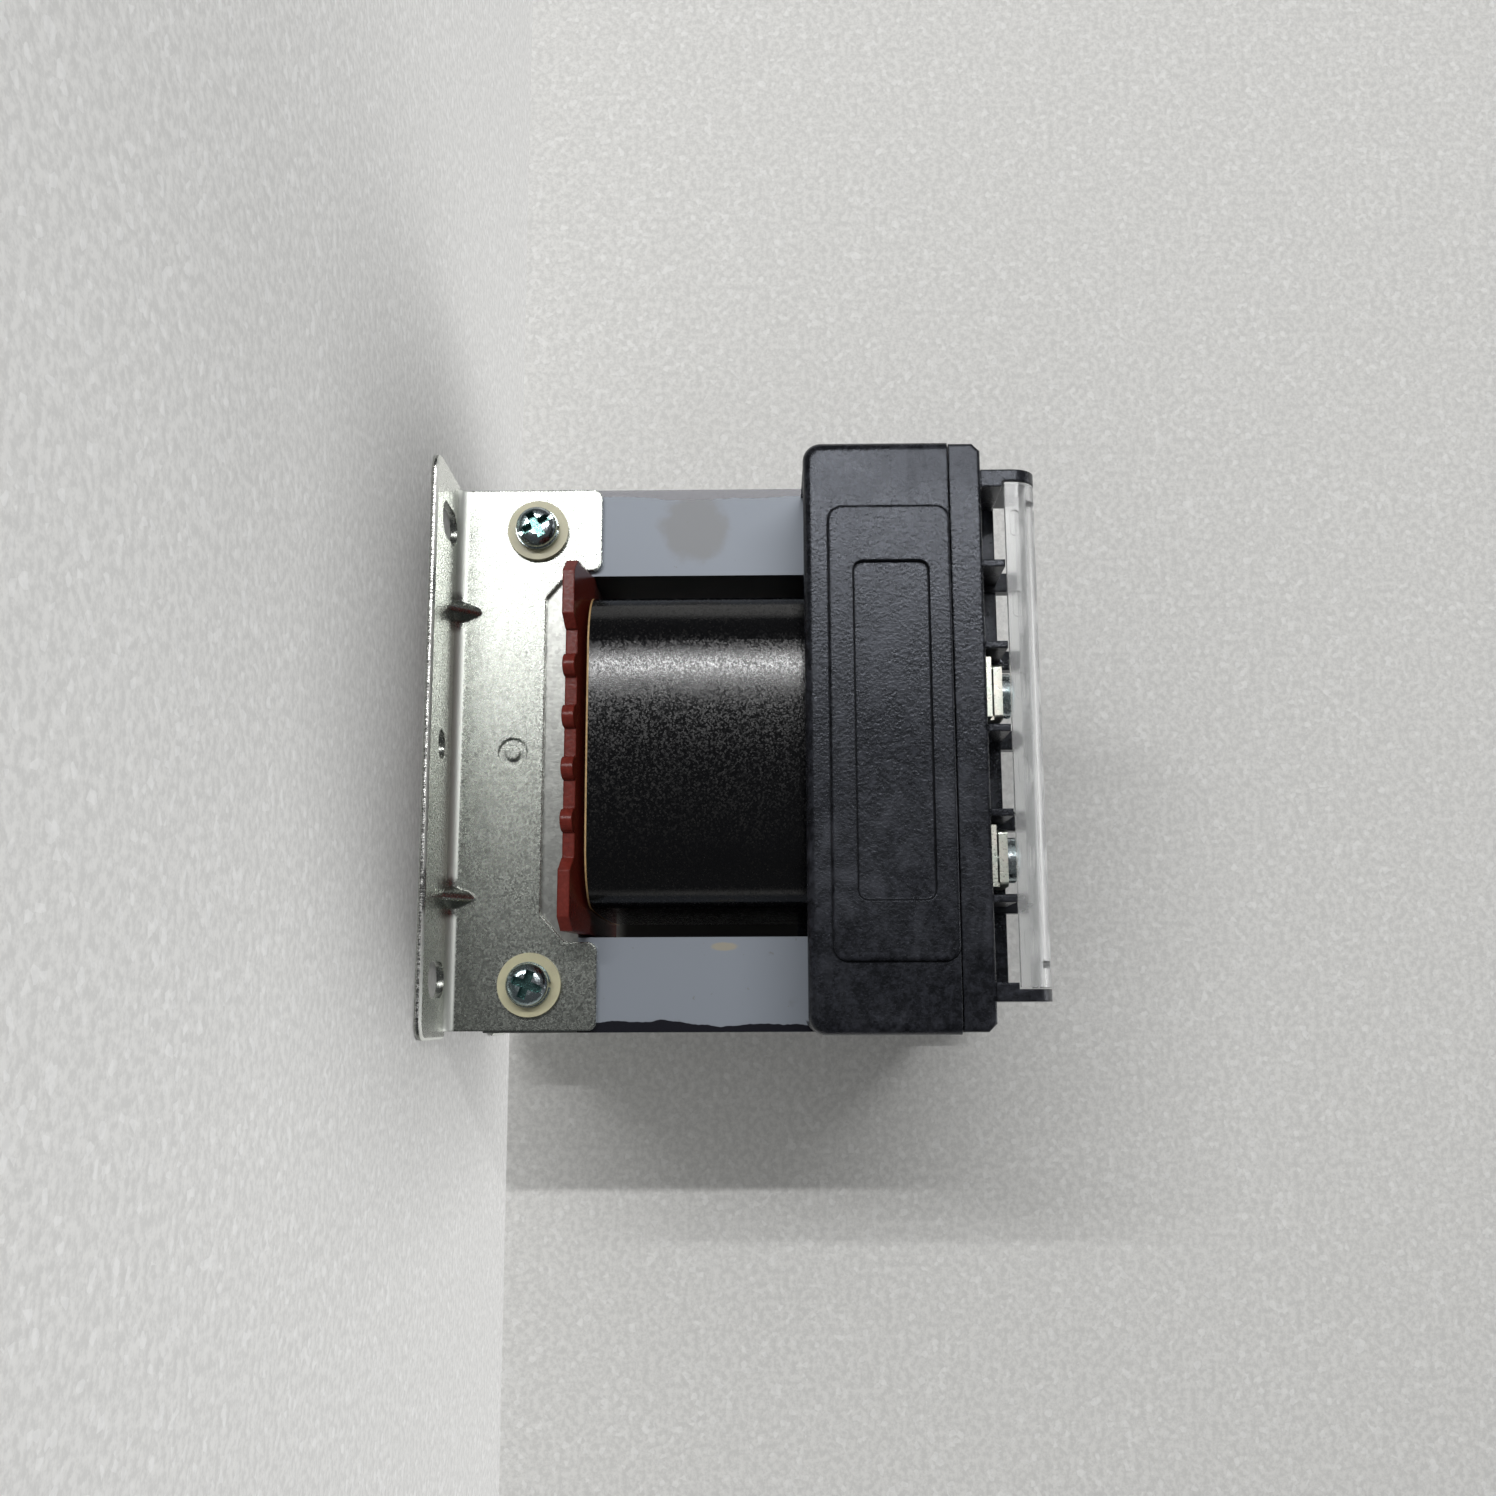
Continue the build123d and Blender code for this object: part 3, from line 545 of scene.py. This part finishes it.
def bare_laminations(colour, varnish):
    """Uncoated laminations with a fine grain and stacked sheets on the sides."""
    material, graph, shader = new_material("lamination_bare")
    axes = graph.split(graph.place())
    face = graph.spread(graph.math("ABSOLUTE", graph.facing(1)), 0.5, 0.8)
    strata = graph.group(effect("strata"), along=axes[1], pitch=LAMINATION, uneven=0.5)
    speckle = graph.group(effect("speckle"), scale=2200.0, low=0.30, high=0.70)
    front = graph.mix(speckle["Cells"], [c * 0.85 for c in colour], [c * 1.15 for c in colour])
    edges = graph.mix(strata["Lines"], (0.03, 0.03, 0.034), (0.20, 0.20, 0.20))
    edges = graph.mix(graph.math("MULTIPLY", strata["Tone"], 0.5), edges, (0.36, 0.36, 0.35))
    drip = graph.group(effect("blotch"), scale=75.0, low=0.45, high=0.62, seed=5.0)["Mask"]
    edges = graph.mix(graph.math("MULTIPLY", drip, 0.30), edges, varnish)
    base = graph.mix(face, edges, front)
    height = graph.math("MULTIPLY", strata["Lines"], graph.math("SUBTRACT", 1.0, face))
    height = graph.math("ADD", height, graph.math("MULTIPLY", speckle["Grain"], 0.3))
    feed(graph, shader, Base_Color=base, Metallic=1.0, Roughness=0.29,
         Normal=graph.bump(height, 0.3, 0.00005))
    return material


def moulded_red(colour):
    """Glass-filled bobbin plastic with a slight sheen and pale scuffs."""
    material, graph, shader = new_material("bobbin_red")
    speckle = graph.group(effect("speckle"), scale=1500.0, low=0.30, high=0.75)
    scuff = graph.group(effect("blotch"), scale=420.0, low=0.66, high=0.78, seed=2.0)["Mask"]
    dark = [c * 0.72 for c in colour]
    base = graph.mix(speckle["Grain"], dark, colour)
    base = graph.mix(graph.math("MULTIPLY", scuff, 0.30), base, (0.36, 0.10, 0.07))
    feed(graph, shader, Base_Color=base, Roughness=0.24, Specular_IOR_Level=0.30,
         Normal=graph.bump(speckle["Grain"], 0.3, 0.00004, graph.worn_edges(0.0005)))
    return material


def coil_film(colour):
    """Glossy black film with a sparkling grain, pale painted glints in its colour and fine creases;
    its front and rear swell a little.
    """
    material, graph, shader = new_material("black_film")
    axes = graph.split(graph.place())
    speckle = graph.group(effect("speckle"), scale=5200.0, low=0.35, high=0.70)
    clouds = graph.group(effect("blotch"), scale=45.0, low=0.35, high=0.70, seed=6.0)["Mask"]
    painted_glints = graph.math("MULTIPLY", graph.math("POWER", speckle["Cells"], 6.0), clouds)
    # Painted glints: sparse pale specks in the film's colour
    base = graph.mix(graph.math("MULTIPLY", painted_glints, 0.06), colour, (0.16, 0.14, 0.12))
    rough = graph.spread(speckle["Cells"], 0.30, 1.0, 0.10, 0.28)
    creases = graph.noise(graph.mapped(graph.place(), scale=(1, 1, 0.03)), 500.0, detail=3.0)
    height = graph.math("ADD", speckle["Grain"], graph.math("MULTIPLY", creases, 0.3))
    across = graph.math("DIVIDE", graph.math("ABSOLUTE", axes[0]), COIL_FLAT)
    gentle = graph.math("MULTIPLY", graph.math("POWER", across, 2.0), COIL_BULGE[0])
    steep = graph.math("MULTIPLY", graph.math("POWER", across, 6.0), COIL_BULGE[1])
    swell = graph.math("MULTIPLY", graph.math("ADD", gentle, steep), -COIL_FLAT)
    side = graph.add("ShaderNodeNewGeometry").outputs["Normal"]
    face = graph.spread(graph.math("ABSOLUTE", graph.split(side)[1]), 0.7, 0.95)
    swollen = graph.bump(swell, 1.0, 1.0)
    # A vector blend keeps its two vectors at sockets 4 and 5
    normal = graph.add("ShaderNodeMix", data_type="VECTOR")
    graph.links.new(face, normal.inputs[0])
    graph.links.new(side, normal.inputs[4])
    graph.links.new(swollen, normal.inputs[5])
    feed(graph, shader, Base_Color=base, Roughness=rough, Specular_IOR_Level=0.5,
         Normal=graph.bump(height, 1.0, 0.000003, normal.outputs[1]))
    return material


def moulded_black(colour):
    """Black moulded plastic: fine grain, flow marks, pale smudges, and thin panel grooves darkened by
    painted shade.
    """
    material, graph, shader = new_material("head_black")
    place = graph.place()
    axes = graph.split(place)
    speckle = graph.group(effect("speckle"), scale=1900.0, low=0.30, high=0.75)
    smudge = graph.group(effect("blotch"), scale=60.0, low=0.38, high=0.66, seed=4.0)["Mask"]
    mottle = graph.noise(place, 750.0, detail=5.0, roughness=0.8)
    swirl = graph.noise(graph.mapped(place, scale=(0.6, 1, 1.5)), 70.0, detail=8.0, distortion=2.2)
    marks = graph.spread(swirl, 0.46, 0.62)
    pale = graph.math("MULTIPLY", graph.math("MULTIPLY", smudge, marks), 0.45)
    dark = [c * 0.5 for c in colour]
    dusty = [c * 4.2 for c in colour]
    base = graph.mix(graph.spread(mottle, 0.38, 0.76), dark, dusty)
    base = graph.mix(pale, base, (0.050, 0.052, 0.062))
    face = graph.spread(graph.math("ABSOLUTE", graph.facing(1)), 0.6, 0.9)
    groove_and_shade = 0.0
    for middle, half_width, half_height, corner in HEAD_PANELS:
        line = graph.group(
            effect("outline"), along=axes[0], rise=graph.math("SUBTRACT", axes[2], middle),
            half_width=half_width, half_height=half_height, corner=corner, line=0.00020,
        )["Mask"]
        groove_and_shade = graph.math("MAXIMUM", groove_and_shade, line)
    groove_and_shade = graph.math("MULTIPLY", groove_and_shade, face)
    # Painted shade: the line round each panel's foot is made nearly black
    base = graph.mix(groove_and_shade, base, (0.0008, 0.0008, 0.0010))
    rough = graph.spread(smudge, 0.0, 1.0, 0.22, 0.30, smooth=False)
    rough = graph.math("ADD", rough, graph.math("MULTIPLY", groove_and_shade, 0.5))
    height = graph.math("ADD", graph.math("MULTIPLY", speckle["Grain"], 0.5),
                        graph.math("MULTIPLY", mottle, 0.6))
    height = graph.math("ADD", height, graph.math("MULTIPLY", swirl, 0.8))
    height = graph.math("SUBTRACT", height, graph.math("MULTIPLY", groove_and_shade, 4.0))
    feed(graph, shader, Base_Color=base, Roughness=rough, Specular_IOR_Level=0.40,
         Specular_Tint=(0.84, 0.89, 1.0),
         Normal=graph.bump(height, 0.5, 0.00007, graph.worn_edges(0.0005)))
    return material


def translucent_nylon(colour):
    """Pale yellow nylon that lets some light through."""
    material, graph, shader = new_material("nylon")
    clouds = graph.group(effect("blotch"), scale=300.0, low=0.35, high=0.70, seed=2.5)["Mask"]
    base = graph.mix(clouds, colour, [c * 0.86 for c in colour])
    feed(graph, shader, Base_Color=base, Roughness=0.34, Transmission_Weight=0.25, IOR=1.5)
    return material


def recess_mask(graph):
    """The driver's recesses in the clamp screws' heads, and the screws' ends behind the nuts."""
    axes = graph.split(graph.place())
    half_width, middle, reach = SCREW_SPREAD
    across = graph.math("SUBTRACT", graph.math("ABSOLUTE", axes[0]), half_width)
    upward = graph.math("SUBTRACT", graph.offset(axes[2], middle), reach)
    far = graph.reach(across, upward)
    near = graph.spread(far, RECESS_RADIUS, RECESS_RADIUS + 0.0002, 1.0, 0.0)
    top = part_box("core_screws")[0][1]
    return graph.math("MULTIPLY", graph.spread(axes[1], top + 0.0003, top + 0.0009), near)


def plated_steel(name, colour, rough, recessed=False):
    """Bright plated steel of screws, nuts and clamp plates."""
    material, graph, shader = new_material(name)
    speckle = graph.group(effect("speckle"), scale=3200.0, low=0.30, high=0.75)
    tint = graph.group(effect("blotch"), scale=260.0, low=0.35, high=0.66, seed=7.0)["Mask"]
    base = graph.mix(tint, colour, (colour[0] * 0.78, colour[1] * 0.92, colour[2] * 0.90))
    base = graph.mix(graph.math("MULTIPLY", speckle["Grain"], 0.35), base, [c * 0.55 for c in colour])
    if recessed:
        base = graph.mix(graph.math("MULTIPLY", recess_mask(graph), 0.85), base, RECESS_TINT)
    roughness = graph.math("ADD", graph.math("MULTIPLY", speckle["Grain"], 0.16), rough)
    feed(graph, shader, Base_Color=base, Metallic=1.0, Roughness=roughness,
         Normal=graph.bump(speckle["Grain"], 0.20, 0.00004))
    return material


def wound_copper(colour):
    """Rows of enamelled wire."""
    material, graph, shader = new_material("copper_wire")
    axes = graph.split(graph.place())
    strata = graph.group(effect("strata"), along=axes[2], pitch=0.0009, uneven=0.3)
    base = graph.mix(strata["Lines"], [c * 0.35 for c in colour], colour)
    feed(graph, shader, Base_Color=base, Metallic=0.7, Roughness=0.30,
         Normal=graph.bump(strata["Lines"], 0.8, 0.0002))
    return material


def cream_paper(colour):
    """Insulating paper with faint fibres."""
    material, graph, shader = new_material("insulation_film")
    fibres = graph.group(effect("speckle"), scale=1400.0, low=0.30, high=0.70)["Grain"]
    base = graph.mix(fibres, colour, [c * 0.70 for c in colour])
    feed(graph, shader, Base_Color=base, Roughness=0.60, Normal=graph.bump(fibres, 0.2, 0.00005))
    return material


def clear_plastic(tint):
    """Clear cover plastic with a light haze and rub marks."""
    material, graph, shader = new_material("clear_cover")
    haze = graph.group(effect("blotch"), scale=70.0, low=0.30, high=0.75, seed=9.0)["Mask"]
    rub = graph.noise(graph.mapped(graph.place(), scale=(0.25, 1, 1)), 1500.0, detail=3.0)
    rough = graph.math("ADD", graph.math("MULTIPLY", haze, 0.14), 0.16)
    feed(graph, shader, Base_Color=tint, Roughness=rough, Transmission_Weight=0.86, IOR=1.46,
         Normal=graph.bump(rub, 0.03, 0.00005))
    return material


def paper_band(name, node, height, reach):
    """The rim of paper that stands out below the film: the lowest slice of the wrapped coil."""
    bpy.ops.object.select_all(action="DESELECT")
    band = bpy.data.objects.new(name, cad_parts[node].data.copy())
    bpy.context.scene.collection.objects.link(band)
    band.select_set(True)
    bpy.context.view_layer.objects.active = band
    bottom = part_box(node)[0][2]
    bpy.ops.object.mode_set(mode="EDIT")
    bpy.ops.mesh.select_all(action="SELECT")
    bpy.ops.mesh.remove_doubles(threshold=0.00001)
    bpy.ops.mesh.bisect(plane_co=(0, 0, bottom + height), plane_no=(0, 0, 1),
                        use_fill=True, clear_outer=True)
    bpy.ops.mesh.select_all(action="SELECT")
    bpy.ops.transform.shrink_fatten(value=reach)
    bpy.ops.object.mode_set(mode="OBJECT")
    bpy.ops.object.shade_smooth_by_angle(angle=math.radians(30))
    return band


def dress(nodes, material):
    """Gives CAD nodes a finish."""
    for name in nodes:
        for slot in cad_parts[name].material_slots:
            slot.material = material


# Operators: one for each finish, for the added piece and for the stage

class TRANSFORMER_OT_core(bpy.types.Operator):
    """Finishes the laminated core"""

    bl_idname = "transformer.core"
    bl_label = "Core"

    def execute(self, context):
        finish = context.scene.transformer_finish
        dress(["e_laminations"], coated_laminations(finish.lamination_coat, finish.varnish))
        dress(["i_laminations"], bare_laminations(finish.bare_steel, finish.varnish))
        return {"FINISHED"}


class TRANSFORMER_OT_brackets(bpy.types.Operator):
    """Finishes the pressed foot brackets"""

    bl_idname = "transformer.brackets"
    bl_label = "Brackets"

    def execute(self, context):
        finish = context.scene.transformer_finish
        dress(["front_bracket", "rear_bracket"], plated_sheet(finish.zinc))
        return {"FINISHED"}


class TRANSFORMER_OT_fasteners(bpy.types.Operator):
    """Finishes screws, nuts and washers"""

    bl_idname = "transformer.fasteners"
    bl_label = "Fasteners"

    def execute(self, context):
        finish = context.scene.transformer_finish
        steel = plated_steel("screw_zinc", finish.screw_steel, 0.16, recessed=True)
        dress(["core_screws", "core_nuts", "spring_washers", "terminal_screws"], steel)
        dress(["nylon_washers"], translucent_nylon(finish.nylon))
        return {"FINISHED"}


class TRANSFORMER_OT_coil(bpy.types.Operator):
    """Finishes the bobbin, the windings, their insulation and the film round them"""

    bl_idname = "transformer.coil"
    bl_label = "Coil"

    def execute(self, context):
        finish = context.scene.transformer_finish
        dress(["bobbin"], moulded_red(finish.bobbin_red))
        dress(["coil_wrap"], coil_film(finish.film_black))
        dress(["primary_winding", "secondary_winding"], wound_copper(finish.copper))
        dress(["winding_insulation"], cream_paper(finish.paper))
        return {"FINISHED"}


class TRANSFORMER_OT_paper_rim(bpy.types.Operator):
    """Adds the thin rim of paper that shows between the bobbin and the film"""

    bl_idname = "transformer.paper_rim"
    bl_label = "Paper rim"

    def execute(self, context):
        finish = context.scene.transformer_finish
        band = paper_band("paper_rim", "coil_wrap", finish.rim_height, finish.rim_reach)
        band.data.materials.clear()
        band.data.materials.append(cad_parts["winding_insulation"].material_slots[0].material)
        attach(band, BODY)
        return {"FINISHED"}


class TRANSFORMER_OT_head(bpy.types.Operator):
    """Finishes the black head, its terminals and the clear covers"""

    bl_idname = "transformer.head"
    bl_label = "Head"

    def execute(self, context):
        finish = context.scene.transformer_finish
        dress(["front_shroud", "rear_shroud", "terminal_block"], moulded_black(finish.head_black))
        tinned = plated_steel("terminal_plate", finish.tinned, 0.26)
        dress(["terminal_contacts", "clamp_plates"], tinned)
        dress(["front_cover", "rear_cover"], clear_plastic(finish.cover_tint))
        return {"FINISHED"}


def stage_material(colour, one_sided):
    """Pale speckled stage; a one-sided one is seen only from its front, and carries a painted shadow
    behind the gap beside the coil.
    """
    material, graph, shader = new_material("stage_one_sided" if one_sided else "stage_floor")
    grain = graph.noise(graph.place(), 750.0, detail=3.0, roughness=0.7)
    base = graph.mix(graph.spread(grain, 0.36, 0.64), [c * 0.84 for c in colour], colour)
    sparks = graph.spread(graph.cells(graph.place(), 950.0), 0.84, 0.98)
    base = graph.mix(graph.math("MULTIPLY", sparks, 0.35), base, (0.97, 0.97, 0.96))
    stains = graph.noise(graph.place(), 9.0, detail=4.0)
    base = graph.mix(graph.spread(stains, 0.60, 0.80, 0.0, 0.12), base, (0.42, 0.38, 0.33))
    if one_sided:
        # Painted shadow: a dark strip behind the gap beside the coil, faded where the backdrop is seen
        # at a slant
        axes = graph.split(graph.place())
        across = graph.offset(axes[0], SHADE_MIDDLE[0])
        upward = graph.offset(axes[1], SHADE_MIDDLE[1])
        shade = graph.math("MULTIPLY", graph.spread(across, *SHADE_ACROSS, 1.0, 0.0),
                           graph.spread(upward, *SHADE_UPWARD, 1.0, 0.0))
        slant = graph.add("ShaderNodeLayerWeight", {"Blend": 0.5}).outputs["Facing"]
        shade = graph.math("MULTIPLY", shade, graph.spread(slant, 0.04, 0.12, 1.0, 0.0))
        base = graph.mix(shade, base, SHADE_COLOUR)
    else:
        feed(graph, shader, Emission_Color=base, Emission_Strength=0.07)
    feed(graph, shader, Base_Color=base, Roughness=0.85)
    if one_sided:
        clear = graph.add("ShaderNodeBsdfTransparent")
        behind = graph.add("ShaderNodeNewGeometry").outputs["Backfacing"]
        mixer = graph.add("ShaderNodeMixShader")
        graph.links.new(behind, mixer.inputs[0])
        graph.links.new(shader.outputs[0], mixer.inputs[1])
        graph.links.new(clear.outputs[0], mixer.inputs[2])
        output = next(n for n in graph.nodes if n.type == "OUTPUT_MATERIAL")
        graph.links.new(mixer.outputs[0], output.inputs["Surface"])
    return material


def lay_floor(stage):
    """The floor below the feet, which throws no shadow and isn't mirrored."""
    bpy.ops.mesh.primitive_plane_add(size=STAGE_SIZE, location=(0, 0, 0))
    floor = bpy.context.object
    floor.name = "floor"
    floor.data.materials.append(stage_material(stage.floor_colour, False))
    floor.visible_shadow = False
    floor.visible_glossy = False


def hang_backdrop(stage):
    """The ground on which the object lies in the photo, close behind its rear."""
    rear = CAD_BOX[1].y + stage.backdrop_gap
    bpy.ops.mesh.primitive_plane_add(
        size=STAGE_SIZE, location=(0, rear, 0), rotation=(math.radians(90), 0, 0),
    )
    backdrop = bpy.context.object
    backdrop.name = "backdrop"
    backdrop.data.materials.append(stage_material(stage.floor_colour, True))
    backdrop.visible_shadow = False
    backdrop.visible_diffuse = False


def soft_light(name, place, size, power):
    """A flat area light that points at the object; its longer side is upright."""
    data = bpy.data.lights.new(name, "AREA")
    data.shape = "RECTANGLE"
    data.size, data.size_y = size
    data.energy = power
    light = bpy.data.objects.new(name, data)
    bpy.context.scene.collection.objects.link(light)
    light.location = place
    light.rotation_mode = "QUATERNION"
    light.rotation_quaternion = (Vector(LIGHT_AIM) - Vector(place)).to_track_quat("-Z", "Y")
    return light


def fill_sky(stage):
    """Even light all round, brighter where the camera looks straight at it."""
    world = bpy.data.worlds.new("sky")
    bpy.context.scene.world = world
    world.use_nodes = True
    background = next(n for n in world.node_tree.nodes if n.type == "BACKGROUND")
    background.inputs["Color"].default_value = SKY_COLOUR
    sky = Graph(world.node_tree)
    seen = sky.add("ShaderNodeLightPath").outputs["Is Camera Ray"]
    strength = sky.spread(seen, 0.0, 1.0, stage.sky_strength, stage.sky_seen, smooth=False)
    sky.links.new(strength, background.inputs["Strength"])


def place_camera(stage):
    """The camera fitted to the photo."""
    data = bpy.data.cameras.new("camera")
    data.sensor_width = 36.0
    data.lens = stage.focal_length
    data.clip_start = 0.01
    data.clip_end = 20.0
    camera = bpy.data.objects.new("camera", data)
    bpy.context.scene.collection.objects.link(camera)
    forward = Vector(stage.camera_forward).normalized()
    right = Vector(stage.camera_right)
    right = (right - forward * right.dot(forward)).normalized()
    up = right.cross(forward)
    turn = Matrix((right, up, -forward)).transposed()
    camera.rotation_mode = "QUATERNION"
    camera.rotation_quaternion = turn.to_quaternion()
    camera.location = stage.camera_place
    bpy.context.scene.camera = camera


class TRANSFORMER_OT_stage(bpy.types.Operator):
    """Adds the floor, the backdrop, the lights and the camera"""

    bl_idname = "transformer.stage"
    bl_label = "Stage"

    def execute(self, context):
        stage = context.scene.transformer_stage
        bpy.ops.object.select_all(action="DESELECT")
        lay_floor(stage)
        hang_backdrop(stage)
        for name, (place, size) in LIGHTS.items():
            light = soft_light(name, place, size, getattr(stage, f"{name}_power"))
            light.visible_glossy = name != "ceiling"
        context.scene.view_settings.view_transform = "Standard"
        fill_sky(stage)
        place_camera(stage)
        return {"FINISHED"}


class TRANSFORMER_PT_panel(bpy.types.Panel):
    """Lists the operators and their settings"""

    bl_idname = "TRANSFORMER_PT_panel"
    bl_label = "Single Phase Transformer"
    bl_space_type = "VIEW_3D"
    bl_region_type = "UI"
    bl_category = "Transformer"

    def draw(self, context):
        for operator in OPERATORS:
            self.layout.operator(operator.bl_idname)
        for group, settings in (
            ("Stage", context.scene.transformer_stage), ("Finishes", context.scene.transformer_finish),
        ):
            box = self.layout.box()
            box.label(text=group)
            for name in settings.bl_rna.properties.keys():
                if name not in ("rna_type", "name"):
                    box.prop(settings, name)


OPERATORS = [
    TRANSFORMER_OT_core,
    TRANSFORMER_OT_brackets,
    TRANSFORMER_OT_fasteners,
    TRANSFORMER_OT_coil,
    TRANSFORMER_OT_paper_rim,
    TRANSFORMER_OT_head,
    TRANSFORMER_OT_stage,
]
CLASSES = [StageSettings, FinishSettings, *OPERATORS, TRANSFORMER_PT_panel]


def register():
    for item in CLASSES:
        bpy.utils.register_class(item)
    bpy.types.Scene.transformer_stage = bpy.props.PointerProperty(type=StageSettings)
    bpy.types.Scene.transformer_finish = bpy.props.PointerProperty(type=FinishSettings)


def unregister():
    del bpy.types.Scene.transformer_finish
    del bpy.types.Scene.transformer_stage
    for item in reversed(CLASSES):
        bpy.utils.unregister_class(item)


def main():
    """Builds everything in order."""
    register()
    bpy.ops.object.select_all(action="DESELECT")
    bpy.ops.transformer.core()
    bpy.ops.transformer.brackets()
    bpy.ops.transformer.fasteners()
    bpy.ops.transformer.coil()
    bpy.ops.transformer.paper_rim()
    bpy.ops.transformer.head()
    bpy.ops.transformer.stage()


if __name__ == "__main__":
    main()
